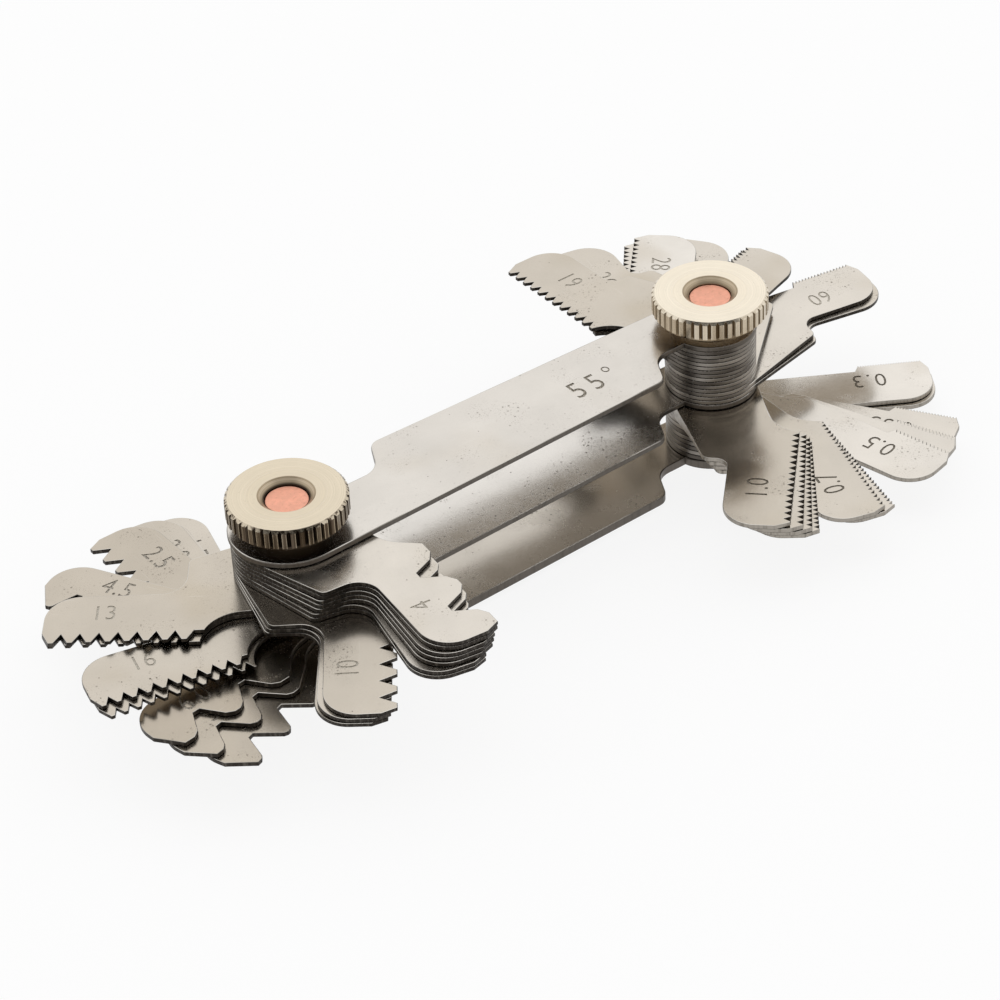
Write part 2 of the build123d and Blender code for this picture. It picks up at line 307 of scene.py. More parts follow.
def add_mix(tree, share, a, b, blend="MIX"):
    """One colour Mix node."""
    step = tree.nodes.new("ShaderNodeMix")
    step.data_type = "RGBA"
    step.blend_type = blend
    feed(tree, step.inputs["Factor"], share)
    feed(tree, step.inputs["A"], (*a, 1) if isinstance(a, tuple) else a)
    feed(tree, step.inputs["B"], (*b, 1) if isinstance(b, tuple) else b)
    return step.outputs["Result"]


def add_range(tree, value, low, high, to_low=0.0, to_high=1.0):
    """One smooth Map Range node."""
    step = tree.nodes.new("ShaderNodeMapRange")
    step.interpolation_type = "SMOOTHSTEP"
    feed(tree, step.inputs["Value"], value)
    step.inputs["From Min"].default_value = low
    step.inputs["From Max"].default_value = high
    step.inputs["To Min"].default_value = to_low
    step.inputs["To Max"].default_value = to_high
    return step.outputs["Result"]


def add_mapping(tree, vector, scale=(1, 1, 1), turn=0.0, shift=(0, 0, 0)):
    """One Mapping node."""
    step = tree.nodes.new("ShaderNodeMapping")
    feed(tree, step.inputs["Vector"], vector)
    step.inputs["Location"].default_value = shift
    step.inputs["Rotation"].default_value = (0, 0, turn)
    step.inputs["Scale"].default_value = scale
    return step.outputs["Vector"]


def add_noise(tree, vector, scale, detail=2.0, roughness=0.5):
    """One Noise Texture node."""
    step = tree.nodes.new("ShaderNodeTexNoise")
    feed(tree, step.inputs["Vector"], vector)
    step.inputs["Scale"].default_value = scale
    step.inputs["Detail"].default_value = detail
    step.inputs["Roughness"].default_value = roughness
    return step.outputs["Fac"]


def add_spots(tree, vector, scale, radius):
    """Small round spots, one in each cell."""
    step = tree.nodes.new("ShaderNodeTexVoronoi")
    feed(tree, step.inputs["Vector"], vector)
    step.inputs["Scale"].default_value = scale
    return add_range(tree, step.outputs["Distance"], radius * 0.4, radius, 1.0, 0.0)


def add_bump(tree, height, distance, strength=1.0, under=None):
    """One Bump node; distance is the height of a full step in metres."""
    step = tree.nodes.new("ShaderNodeBump")
    step.inputs["Strength"].default_value = strength
    step.inputs["Distance"].default_value = distance
    feed(tree, step.inputs["Height"], height)
    feed(tree, step.inputs["Normal"], under)
    return step.outputs["Normal"]


def flat_coordinates(tree):
    """The piece's own flat map, in centimetres from its pivot."""
    step = tree.nodes.new("ShaderNodeUVMap")
    step.uv_map = UV_NAME
    return step.outputs["UV"]


def add_vector_math(tree, operation, a, b=None):
    """One Vector Math node."""
    step = tree.nodes.new("ShaderNodeVectorMath")
    step.operation = operation
    feed(tree, step.inputs[0], a)
    feed(tree, step.inputs[1], b)
    return step.outputs["Value" if operation == "LENGTH" else "Vector"]


def split(tree, vector):
    """The parts X, Y and Z of a vector."""
    step = tree.nodes.new("ShaderNodeSeparateXYZ")
    tree.links.new(vector, step.inputs[0])
    return step.outputs


def pattern_coordinates(tree, flat):
    """The flat map moved on by the piece's own shift."""
    step = tree.nodes.new("ShaderNodeAttribute")
    step.attribute_name = SHIFT_NAME
    return add_vector_math(tree, "ADD", flat, step.outputs["Vector"])


def upward(tree):
    """How far the surface faces up, from -1 underneath to 1 on top."""
    place = tree.nodes.new("ShaderNodeTexCoord")
    return split(tree, place.outputs["Normal"])["Z"]


def piece_lightness(tree):
    """The piece's own lightness, warmer where it is darker."""
    step = tree.nodes.new("ShaderNodeAttribute")
    step.attribute_name = LIGHTNESS_NAME
    value = step.outputs["Fac"]
    join = tree.nodes.new("ShaderNodeCombineColor")
    tree.links.new(value, join.inputs["Red"])
    tree.links.new(add_math(tree, "POWER", value, 1.15), join.inputs["Green"])
    tree.links.new(add_math(tree, "POWER", value, 1.4), join.inputs["Blue"])
    return join.outputs["Color"]


def rolled_steel(
    name,
    tone,
    edge_tone,
    grain_turn,
    pit_share,
    stain_share,
    hub=(0.0, 0.0),
    hub_tone=None,
    below_share=0.5,
    worn_side=0.0,
    back_tone=None,
):
    """Satin rolled steel: soft clouds, grain, clustered pits, fine scratches, and dark sheared edges whose
    darkness is painted shade.

    hub is the radius of the round end in centimetres and how badly it is pitted; hub_tone is the
    colour of the round end's wall, a lighter painted shade with streaks of painted reflection. below_share
    is how light the painted shade on the underside is, and worn_side how badly the near side is pitted
    and stained. back_tone is the colour of the wall that has no teeth, from the back of the blade round
    its tip, a lighter painted shade than the walls along the teeth.
    """
    finish, tree, shader = fresh_finish(name)
    flat = flat_coordinates(tree)
    place = pattern_coordinates(tree, flat)
    reach = add_vector_math(tree, "LENGTH", flat)
    clouds = add_noise(tree, place, 1.1, 4.0, 0.55)
    grain = add_noise(tree, add_mapping(tree, place, (7, 190, 1), grain_turn), 1.0, 3.0, 0.6)
    marks = add_noise(tree, add_mapping(tree, place, (1.6, 60, 1), grain_turn + 0.7), 1.0, 1.0)
    scratches = add_range(tree, marks, 0.69, 0.76)
    patches = add_range(tree, add_noise(tree, place, 1.7, 3.0), 0.5, 0.68)
    hub_radius, hub_pits = hub
    if hub_pits > 0:
        near_hub = add_range(tree, reach, hub_radius * 1.1, hub_radius * 2.1, hub_pits, 0.0)
        ragged = add_range(tree, add_noise(tree, place, 3.5, 2.0), 0.3, 0.55)
        patches = add_math(tree, "MAXIMUM", patches, add_math(tree, "MULTIPLY", near_hub, ragged))
    if worn_side > 0:
        sides = split(tree, flat)
        near_side = add_range(tree, sides["Y"], *WORN_STRIP, worn_side, 0.0)
        toward_notch = add_range(tree, sides["X"], *TO_RIGHT_NOTCH, 0.55, 1.0)
        near_side = add_math(tree, "MULTIPLY", near_side, toward_notch)
        ragged = add_range(tree, add_noise(tree, place, 4.0, 3.0), 0.34, 0.56)
        patches = add_math(tree, "MAXIMUM", patches, add_math(tree, "MULTIPLY", near_side, ragged))
    coarse_pits = add_math(tree, "MULTIPLY", add_spots(tree, place, 15, 0.24), patches)
    fine_pits = add_math(tree, "MULTIPLY", add_spots(tree, place, 40, 0.3), patches)
    lone_pits = add_spots(tree, add_mapping(tree, place, shift=(3.1, 1.7, 0)), 6, 0.06)
    pits = add_math(tree, "MAXIMUM", coarse_pits, add_math(tree, "MULTIPLY", fine_pits, 0.7))
    pits = add_math(tree, "MULTIPLY", add_math(tree, "MAXIMUM", pits, lone_pits), pit_share)

    shade = add_math(tree, "MULTIPLY_ADD", clouds, 0.3, 0.85)
    face = add_mix(tree, 1.0, tuple(tone), shade, "MULTIPLY")
    face = add_mix(tree, 1.0, face, piece_lightness(tree), "MULTIPLY")
    stain = add_range(tree, add_noise(tree, place, 0.8, 2.0), 0.5, 0.78)
    stain = add_math(tree, "MULTIPLY", stain, stain_share)
    face = add_mix(tree, stain, face, (0.52, 0.44, 0.32))
    face = add_mix(tree, add_math(tree, "MULTIPLY", scratches, 0.12), face, (0.9, 0.87, 0.83))
    face = add_mix(tree, pits, face, (0.09, 0.07, 0.05))
    streaks = add_noise(tree, place, 1.3, 2.0, 0.45)
    speckle = add_noise(tree, place, 30, 2.0)
    # Walls: painted shade, edge_tone dark with a few lighter specks, standing in for shade on the upright
    # cut walls
    wall = add_mix(tree, add_range(tree, speckle, 0.45, 0.75), tuple(edge_tone), (0.1, 0.09, 0.078))
    # Painted shade: the walls along the teeth keep the dark painted shade, while the back and tip walls take
    # back_tone, a lighter painted shade
    if back_tone is not None:
        sides = split(tree, flat)
        back = add_mix(tree, add_range(tree, speckle, 0.45, 0.75), back_tone, (0.2, 0.18, 0.155))
        smooth_side = add_range(tree, sides["Y"], *TOOTHED_SIDE, 1.0, 0.0)
        tip = add_range(tree, sides["X"], *BLADE_TIP)
        wall = add_mix(tree, add_math(tree, "MAXIMUM", smooth_side, tip), wall, back)
    # Painted reflection: the round ends' walls are coloured lighter than the other walls, with bright
    # streaks, and their rounded rim takes a brighter painted highlight below
    if hub_tone is not None:
        on_hub = add_range(tree, reach, hub_radius * 1.02, hub_radius * 1.06, 1.0, 0.0)
        wear_and_sheen = add_mix(tree, add_range(tree, streaks, 0.32, 0.68), (0.1, 0.088, 0.076), tuple(hub_tone))
        wear_and_sheen = add_mix(tree, add_math(tree, "MULTIPLY", speckle, 0.2), wear_and_sheen, (0.05, 0.045, 0.04))
        wall = add_mix(tree, on_hub, wall, wear_and_sheen)
    height = upward(tree)
    # Rounded top rim: the real burr, and a painted highlight streaked from dark to light; the fine blades'
    # round ends get a brighter one
    burr_and_highlight = add_mix(tree, add_range(tree, streaks, 0.35, 0.6), (0.3, 0.28, 0.25), (0.66, 0.63, 0.58))
    if hub_tone is not None:
        burr_and_highlight = add_mix(tree, on_hub, burr_and_highlight, (0.78, 0.74, 0.68))
    colour = add_mix(tree, add_range(tree, height, 0.6, 0.75), wall, burr_and_highlight)
    colour = add_mix(tree, add_range(tree, height, 0.95, 0.99), colour, face)
    # Painted shade: faces turned downwards go near black, and flat undersides take the face colour darkened
    # by below_share
    colour = add_mix(tree, add_range(tree, height, -0.4, -0.2, 1.0, 0.0), colour, (0.014, 0.012, 0.01))
    below_tone = (below_share, below_share * 0.95, below_share * 0.88)
    below = add_mix(tree, 1.0, face, below_tone, "MULTIPLY")
    colour = add_mix(tree, add_range(tree, height, -0.99, -0.95, 1.0, 0.0), colour, below)
    tree.links.new(colour, shader.inputs["Base Color"])

    on_wall = add_range(tree, add_math(tree, "ABSOLUTE", height), 0.5, 0.8, 1.0, 0.0)
    gloss = add_math(tree, "MULTIPLY_ADD", clouds, 0.14, 0.12)
    gloss = add_math(tree, "MULTIPLY_ADD", grain, 0.05, gloss)
    gloss = add_math(tree, "MULTIPLY_ADD", pits, 0.3, gloss)
    gloss = add_math(tree, "MULTIPLY_ADD", patches, 0.07, gloss)
    gloss = add_math(tree, "MULTIPLY_ADD", on_wall, 0.15, gloss, True)
    tree.links.new(gloss, shader.inputs["Roughness"])
    shader.inputs["Metallic"].default_value = 1.0

    sway = add_bump(tree, add_noise(tree, place, 0.8, 2.0), 0.00009)
    rolled = add_bump(tree, grain, 0.0000022, under=sway)
    pitted = add_bump(tree, add_math(tree, "SUBTRACT", 1.0, pits), 0.000006, under=rolled)
    tree.links.new(pitted, shader.inputs["Normal"])
    return finish


def groove_steel(name, tone, grime_tone):
    """The inside of a stamped number."""
    finish, tree, shader = fresh_finish(name)
    place = pattern_coordinates(tree, flat_coordinates(tree))
    grime_and_glint = add_noise(tree, place, 60, 3.0)
    colour = add_mix(tree, add_range(tree, grime_and_glint, 0.35, 0.65), tuple(tone), grime_tone)
    tree.links.new(colour, shader.inputs["Base Color"])
    shader.inputs["Metallic"].default_value = 0.9
    shader.inputs["Roughness"].default_value = 0.38
    tree.links.new(add_bump(tree, grime_and_glint, 0.000006), shader.inputs["Normal"])
    return finish


def turned_nickel(name, tone, crest_tone, glint_tone, shadow_tone, knurl_count, knurl_radius):
    """Turned and plated metal: fine rings on the face, a dish darkened by painted shade, and a knurl
    with grime and painted shade on its ridges and in its grooves and painted highlights on the ridges'
    corners."""
    finish, tree, shader = fresh_finish(name)
    flat = flat_coordinates(tree)
    reach = add_vector_math(tree, "LENGTH", flat)
    radius = tree.nodes.new("ShaderNodeCombineXYZ")
    tree.links.new(reach, radius.inputs["X"])
    rings = add_noise(tree, radius.outputs[0], 48, 3.0, 0.6)
    clouds = add_noise(tree, flat, 2.4, 3.0)
    specks = add_math(tree, "MULTIPLY", add_spots(tree, flat, 26, 0.15), add_range(tree, clouds, 0.52, 0.66))
    height = upward(tree)
    level = add_range(tree, height, 0.97, 0.99)

    shade = add_math(tree, "MULTIPLY_ADD", rings, 0.3, 0.79)
    shade = add_math(tree, "MULTIPLY_ADD", clouds, 0.12, shade)
    face = add_mix(tree, 1.0, tuple(tone), add_math(tree, "SUBTRACT", shade, 0.03), "MULTIPLY")
    face = add_mix(tree, add_math(tree, "MULTIPLY", specks, 0.6), face, (0.2, 0.15, 0.08))

    parts = split(tree, flat)
    angle = add_math(tree, "ARCTAN2", parts["Y"], parts["X"])
    step = add_math(tree, "MULTIPLY_ADD", angle, knurl_count / (2 * math.pi), knurl_count)
    off_groove = add_math(tree, "PINGPONG", step, 0.5)
    # Knurl: painted shade on the ridge crests, painted highlights on the ridges' corners and painted shadow
    # in the grooves; a noise varies the crests and the highlights
    grime_and_glint = add_noise(tree, add_mapping(tree, flat, (1, 1, 1)), 22, 3.0)
    crest = add_mix(tree, add_range(tree, grime_and_glint, 0.4, 0.65), tuple(crest_tone), tuple(glint_tone))
    crest = add_mix(tree, 0.75, crest, tuple(crest_tone))
    glint = add_mix(tree, add_range(tree, grime_and_glint, 0.38, 0.55), tuple(crest_tone), tuple(glint_tone))
    ridge = add_mix(tree, add_range(tree, off_groove, 0.27, 0.31), glint, crest)
    ridge = add_mix(tree, add_range(tree, off_groove, 0.21, 0.25), tuple(shadow_tone), ridge)
    on_knurl = add_range(tree, reach, knurl_radius * 0.955, knurl_radius * 0.96)
    side = add_mix(tree, on_knurl, tuple(shadow_tone), ridge)
    # Dish: painted shade, darker than the face; painted shadow on its floor round the stud; beyond its outer
    # edge the chamfers take a painted highlight
    dish = add_mix(tree, add_range(tree, rings, 0.35, 0.65), (0.27, 0.2, 0.12), (0.64, 0.54, 0.4))
    dish = add_mix(tree, add_range(tree, reach, *DISH_FLOOR, 1.0, 0.0), dish, tuple(shadow_tone))
    slope = add_mix(tree, add_range(tree, reach, *DISH_RIM), dish, glint)
    colour = add_mix(tree, add_range(tree, height, 0.5, 0.6), side, slope)
    colour = add_mix(tree, level, colour, face)
    below = add_range(tree, height, -0.9, -0.5, 1.0, 0.0)
    colour = add_mix(tree, below, colour, tuple(shadow_tone))
    tree.links.new(colour, shader.inputs["Base Color"])

    gloss = add_math(tree, "MULTIPLY_ADD", rings, 0.12, 0.16)
    gloss = add_math(tree, "MULTIPLY_ADD", add_range(tree, reach, 0.4, 0.44, 1.0, 0.0), 0.2, gloss)
    tree.links.new(gloss, shader.inputs["Roughness"])
    shader.inputs["Metallic"].default_value = 1.0
    turned = add_bump(tree, add_math(tree, "MULTIPLY", rings, level), 0.000012)
    tree.links.new(turned, shader.inputs["Normal"])
    return finish


def matte_copper(name, tone):
    """Matte copper with faint smears and dents."""
    finish, tree, shader = fresh_finish(name)
    flat = flat_coordinates(tree)
    smears = add_noise(tree, flat, 9, 4.0, 0.6)
    dents = add_noise(tree, add_mapping(tree, flat, (1, 1.8, 1), 0.5), 16, 3.0, 0.6)
    spots = add_spots(tree, flat, 24, 0.2)
    light_tone = tuple(min(1.0, part * 1.15) for part in tone)
    face = add_mix(tree, add_range(tree, smears, 0.35, 0.7), tuple(tone), light_tone)
    dented = add_math(tree, "MULTIPLY", add_range(tree, dents, 0.55, 0.75), 0.4)
    face = add_mix(tree, dented, face, (0.5, 0.22, 0.14))
    face = add_mix(tree, add_math(tree, "MULTIPLY", spots, 0.25), face, (0.4, 0.17, 0.1))
    # Painted shade: the heads' walls are coloured a darker copper than their faces
    wall = add_mix(tree, smears, (0.2, 0.08, 0.04), (0.34, 0.14, 0.08))
    on_face = add_range(tree, upward(tree), 0.6, 0.95)
    tree.links.new(add_mix(tree, on_face, wall, face), shader.inputs["Base Color"])
    tree.links.new(add_math(tree, "MULTIPLY_ADD", smears, 0.2, 0.32), shader.inputs["Roughness"])
    shader.inputs["Metallic"].default_value = 1.0
    bumped = add_bump(tree, dents, 0.00005)
    tree.links.new(bumped, shader.inputs["Normal"])
    return finish


def pale_paper(name, tone):
    """White floor that keeps a faint soft shadow of the object."""
    finish, tree, shader = fresh_finish(name)
    shader.inputs["Base Color"].default_value = (*tone, 1)
    shader.inputs["Roughness"].default_value = 0.9
    shader.inputs["Specular IOR Level"].default_value = 0.0
    glow = tree.nodes.new("ShaderNodeEmission")
    glow.inputs["Color"].default_value = (1, 1, 1, 1)
    glow.inputs["Strength"].default_value = 1.0
    path = tree.nodes.new("ShaderNodeLightPath")
    seen = add_math(tree, "MAXIMUM", path.outputs["Is Camera Ray"], path.outputs["Is Glossy Ray"])
    seen = add_math(tree, "MAXIMUM", seen, path.outputs["Is Transmission Ray"])
    blend = tree.nodes.new("ShaderNodeMixShader")
    tree.links.new(add_math(tree, "MULTIPLY", seen, FLOOR_GLOW), blend.inputs["Fac"])
    tree.links.new(shader.outputs["BSDF"], blend.inputs[1])
    tree.links.new(glow.outputs["Emission"], blend.inputs[2])
    tree.links.new(blend.outputs["Shader"], tree.nodes["Material Output"].inputs["Surface"])
    return finish


# Settings


class PitchGaugeSizes(bpy.types.PropertyGroup):
    """Sizes of the details that the looks add."""

    blade_edge: FloatProperty(
        name="Blade edge",
        description="Width of the rounding round each blade",
        default=0.07 * MM,
        min=0,
        unit="LENGTH",
        precision=6,
    )
    plate_edge: FloatProperty(
        name="Plate edge",
        description="Width of the rounding round each body plate",
        default=0.12 * MM,
        min=0,
        unit="LENGTH",
        precision=6,
    )
    nut_edge: FloatProperty(
        name="Nut edge",
        description="Width of the facet on the thumb nuts and their knurl",
        default=0.03 * MM,
        min=0,
        unit="LENGTH",
        precision=6,
    )
    stud_edge: FloatProperty(
        name="Stud edge",
        description="Width of the facet on the ends of the studs",
        default=0.12 * MM,
        min=0,
        unit="LENGTH",
        precision=6,
    )
    digit_height: FloatProperty(
        name="Digit height",
        description="Height of the numbers on the lower tier of blades",
        default=2.45 * MM,
        min=0,
        unit="LENGTH",
        precision=6,
    )
    inch_digit_height: FloatProperty(
        name="Upper digit height",
        description="Height of the numbers on the upper tier of blades",
        default=2.3 * MM,
        min=0,
        unit="LENGTH",
        precision=6,
    )
    plate_digit_height: FloatProperty(
        name="Plate digit height",
        description="Height of the thread angle on the top plate",
        default=2.9 * MM,
        min=0,
        unit="LENGTH",
        precision=6,
    )
    digit_width_share: FloatProperty(
        name="Digit width",
        description="Width of the digits as a share of the font's own",
        default=0.83,
        min=0.1,
        max=2,
    )
    digit_spacing: FloatProperty(
        name="Digit spacing",
        description="Distance between digits as a share of the font's own",
        default=1.04,
        min=0.5,
        max=3,
    )
    digit_thinning: FloatProperty(
        name="Digit thinning",
        description="How much each stroke is thinned on each side",
        default=0.016 * MM,
        min=0,
        unit="LENGTH",
        precision=6,
    )
    digit_depth: FloatProperty(
        name="Digit depth",
        description="Depth of the stamped numbers",
        default=0.05 * MM,
        min=0,
        unit="LENGTH",
        precision=6,
    )


class PitchGaugeColours(bpy.types.PropertyGroup):
    """Colours of the finishes."""

    blade_steel: FloatVectorProperty(
        name="Blade steel",
        description="Colour of the blades' faces",
        default=(0.76, 0.71, 0.64),
        min=0,
        max=1,
        subtype="COLOR",
    )
    plate_steel: FloatVectorProperty(
        name="Plate steel",
        description="Colour of the body plates' faces",
        default=(0.73, 0.69, 0.635),
        min=0,
        max=1,
        subtype="COLOR",
    )
    # Painted shade: the blades' upright cut walls are coloured dark to stand in for shade
    sheared_edge_shade: FloatVectorProperty(
        name="Sheared edge",
        description="Colour of the cut edges of blades and plates",
        default=(0.035, 0.03, 0.026),
        min=0,
        max=1,
        subtype="COLOR",
    )
    # Painted shade: the body plates' upright walls are coloured dark to stand in for shade
    plate_wall: FloatVectorProperty(
        name="Plate wall",
        description="Colour of the body plates' walls",
        default=(0.13, 0.115, 0.1),
        min=0,
        max=1,
        subtype="COLOR",
    )
    # Painted shade, lighter than on the toothed walls, for the fine metric blades' toothless walls
    thin_blade_back: FloatVectorProperty(
        name="Thin blade back",
        description="Colour of the fine metric blades' walls where there are no teeth",
        default=(0.36, 0.33, 0.29),
        min=0,
        max=1,
        subtype="COLOR",
    )
    # Painted reflection: the fine blades' round-end walls are coloured lighter to stand in for light on the
    # stack
    hub_wall_sheen: FloatVectorProperty(
        name="Hub wall sheen",
        description="Colour of the walls of the fine blades' round ends",
        default=(0.37, 0.34, 0.305),
        min=0,
        max=1,
        subtype="COLOR",
    )
    worn_groove: FloatVectorProperty(
        name="Worn groove",
        description="Colour inside the shallow numbers of the upper tier",
        default=(0.55, 0.51, 0.44),
        min=0,
        max=1,
        subtype="COLOR",
    )
    deep_groove: FloatVectorProperty(
        name="Deep groove",
        description="Colour inside the sharp numbers of the lower tier",
        default=(0.1, 0.085, 0.065),
        min=0,
        max=1,
        subtype="COLOR",
    )
    nickel: FloatVectorProperty(
        name="Nickel",
        description="Colour of the nuts' turned faces",
        default=(0.78, 0.685, 0.53),
        min=0,
        max=1,
        subtype="COLOR",
    )
    bright_nickel: FloatVectorProperty(
        name="Bright nickel",
        description="Colour of the right nut's turned face",
        default=(0.93, 0.84, 0.69),
        min=0,
        max=1,
        subtype="COLOR",
    )
    # Painted shade: the coarse nut's ridges are coloured dark to stand in for shade on its knurl
    dark_knurl: FloatVectorProperty(
        name="Dark knurl",
        description="Colour of the ridges on the coarse nut",
        default=(0.09, 0.066, 0.045),
        min=0,
        max=1,
        subtype="COLOR",
    )
    # Painted shade, lighter than on the coarse nut: the fine nut's ridges are coloured darker than its face
    bright_knurl: FloatVectorProperty(
        name="Bright knurl",
        description="Colour of the ridges on the fine nut",
        default=(0.56, 0.48, 0.37),
        min=0,
        max=1,
        subtype="COLOR",
    )
    nut_shadow: FloatVectorProperty(
        name="Nut shadow",
        description="Colour down in the knurl, on the collars and underneath the nuts",
        default=(0.05, 0.037, 0.025),
        min=0,
        max=1,
        subtype="COLOR",
    )
    copper: FloatVectorProperty(
        name="Copper",
        description="Colour of the stud ends",
        default=(0.84, 0.42, 0.3),
        min=0,
        max=1,
        subtype="COLOR",
    )
    floor: FloatVectorProperty(
        name="Floor",
        description="Colour of the floor",
        default=(0.95, 0.95, 0.95),
        min=0,
        max=1,
        subtype="COLOR",
    )


class PitchGaugeStudio(bpy.types.PropertyGroup):
    """Camera, lamp and backdrop."""

    camera_place: FloatVectorProperty(
        name="Camera place",
        description="Where the camera stands",
        default=(-0.14024, -0.23526, 0.22729),
        subtype="TRANSLATION",
        unit="LENGTH",
    )
    lens: FloatProperty(
        name="Lens",
        description="Focal length on a 36 mm sensor, in millimetres",
        default=120.32,
        min=10,
    )
    lamp_place: FloatVectorProperty(
        name="Lamp place",
        description="Where the square overhead lamp hangs",
        default=(-0.03, -0.09, 0.9),
        subtype="TRANSLATION",
        unit="LENGTH",
    )
    lamp_size: FloatProperty(
        name="Lamp size",
        description="Side of the square overhead lamp",
        default=0.8,
        min=0.01,
        unit="LENGTH",
    )
    lamp_power: FloatProperty(
        name="Lamp power",
        description="Power of the overhead lamp in watts",
        default=0.45,
        min=0,
    )
    world_strength: FloatProperty(
        name="World strength",
        description="Brightness of the white surroundings",
        default=1.0,
        min=0,
    )
    card_distance: FloatProperty(
        name="Card distance",
        description="Distance of the dark card that hangs behind the camera",
        default=0.8,
        min=0.5,
        unit="LENGTH",
    )
    card_bottom: FloatProperty(
        name="Card bottom",
        description="Height of the dark card's lower edge over the floor",
        default=0.7,
        min=0,
        unit="LENGTH",
    )
    card_height: FloatProperty(
        name="Card height",
        description="Height of the dark card itself",
        default=1.0,
        min=0.1,
        unit="LENGTH",
    )
    card_sweep: FloatProperty(
        name="Card sweep",
        description="How far the dark card reaches round the object",
        default=math.radians(130),
        min=0.1,
        max=math.pi,
        subtype="ANGLE",
    )
    card_segments: IntProperty(
        name="Card segments",
        description="Flat strips in the curved card",
        default=16,
        min=2,
    )


# Operators


class AddStudio(bpy.types.Operator):
    """Add the camera, the floor, the soft lamp, the dark card and the white surroundings."""

    bl_idname = "pitch_gauge.add_studio"
    bl_label = "Add studio"

    def execute(self, context):
        studio = context.scene.pitch_gauge_studio
        colours = context.scene.pitch_gauge_colours

        right = Vector((0.79476, -0.60532, -0.04412))
        down = Vector((-0.39560, -0.46154, -0.79403))
        onward = Vector((0.46027, 0.64852, -0.60628))
        lens = bpy.data.cameras.new("camera")
        lens.sensor_width = 36
        lens.lens = studio.lens
        lens.clip_start = 0.01
        lens.clip_end = 20
        camera = bpy.data.objects.new("camera", lens)
        context.scene.collection.objects.link(camera)
        turn = Matrix((right, -down, -onward)).transposed().to_4x4()
        camera.matrix_world = Matrix.Translation(studio.camera_place) @ turn
        context.scene.camera = camera

        bpy.ops.object.select_all(action="DESELECT")
        bpy.ops.mesh.primitive_plane_add(size=8, location=(0.03, 0, -0.0001))
        floor = context.object
        floor.name = "floor"
        bpy.ops.object.transform_apply(location=True, rotation=False, scale=False)
        floor.data.materials.append(pale_paper("pale_paper", colours.floor))

        bpy.ops.object.select_all(action="DESELECT")
        bpy.ops.mesh.primitive_plane_add(size=1, location=(0, 0, 0))
        card = context.object
        card.name = "dark_card"
        bpy.ops.object.mode_set(mode="EDIT")
        bpy.ops.mesh.select_all(action="SELECT")
        bpy.ops.mesh.subdivide(number_cuts=studio.card_segments)
        bpy.ops.object.mode_set(mode="OBJECT")
        heading = math.atan2(-onward.y, -onward.x)
        for point in card.data.vertices:
            bearing = heading + point.co.x * studio.card_sweep
            height = (point.co.y + 0.5) * studio.card_height + studio.card_bottom
            point.co = (
                0.03 + studio.card_distance * math.cos(bearing),
                studio.card_distance * math.sin(bearing),
                height,
            )
        black, _, shader = fresh_finish("black_card")
        shader.inputs["Base Color"].default_value = (0.02, 0.02, 0.02, 1)
        shader.inputs["Roughness"].default_value = 0.9
        shader.inputs["Specular IOR Level"].default_value = 0.0
        card.data.materials.append(black)
        card.visible_camera = False

        light = bpy.data.lights.new("soft_lamp", "AREA")
        light.shape = "SQUARE"
        light.size = studio.lamp_size
        light.energy = studio.lamp_power
        lamp = bpy.data.objects.new("soft_lamp", light)
        lamp.location = studio.lamp_place
        context.scene.collection.objects.link(lamp)
        lamp.visible_camera = False

        world = bpy.data.worlds.new("white_surroundings")
        world.use_nodes = True
        backdrop = world.node_tree.nodes["Background"]
        backdrop.inputs["Color"].default_value = (1, 1, 1, 1)
        backdrop.inputs["Strength"].default_value = studio.world_strength
        context.scene.world = world
        context.scene.view_settings.view_transform = "Standard"
        return {"FINISHED"}


class AddBodyPlates(bpy.types.Operator):
    """Add the three body plates, the thread angle stamped on the top one."""

    bl_idname = "pitch_gauge.add_body_plates"
    bl_label = "Add body plates"

    def execute(self, context):
        sizes = context.scene.pitch_gauge_sizes
        colours = context.scene.pitch_gauge_colours
        steel = rolled_steel(
            "plate_steel",
            colours.plate_steel,
            colours.plate_wall,
            0.0,
            0.6,
            0.3,
            below_share=0.42,
            worn_side=0.3,
        )
        wear_and_sheen = rolled_steel(
            "worn_plate_steel",
            colours.plate_steel,
            colours.plate_wall,
            0.1,
            0.9,
            1.0,
            below_share=0.4,
            worn_side=1.0,
        )
        groove = groove_steel("plate_groove", colours.deep_groove, (0.4, 0.36, 0.3))
        for index, node in enumerate(("base_plate", "middle_plate", "top_plate")):
            plate = whole_copy(node, f"steel_{node}")
            break_edges(plate, sizes.plate_edge, 2, rim)
            plate.data.materials.append(wear_and_sheen if node == "middle_plate" else steel)
            if node == "top_plate":
                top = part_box(node)[1][2]
                cutter = number_cutter(
                    "55°",
                    sizes.plate_digit_height,
                    0.85,
                    1.4,
                    sizes.digit_thinning,
                    sizes.digit_depth,
                    (39.5 * MM, -0.86 * MM, top),
                    0.0,
                )
                stamp(plate, cutter, groove)
            smooth(plate)
            lay_flat_map(plate, (0, 0), 0.0, (11.0 * index, 3.0), (0.85, 1.08, 1.0)[index])
            hand_over(plate, node, "frame")
        return {"FINISHED"}


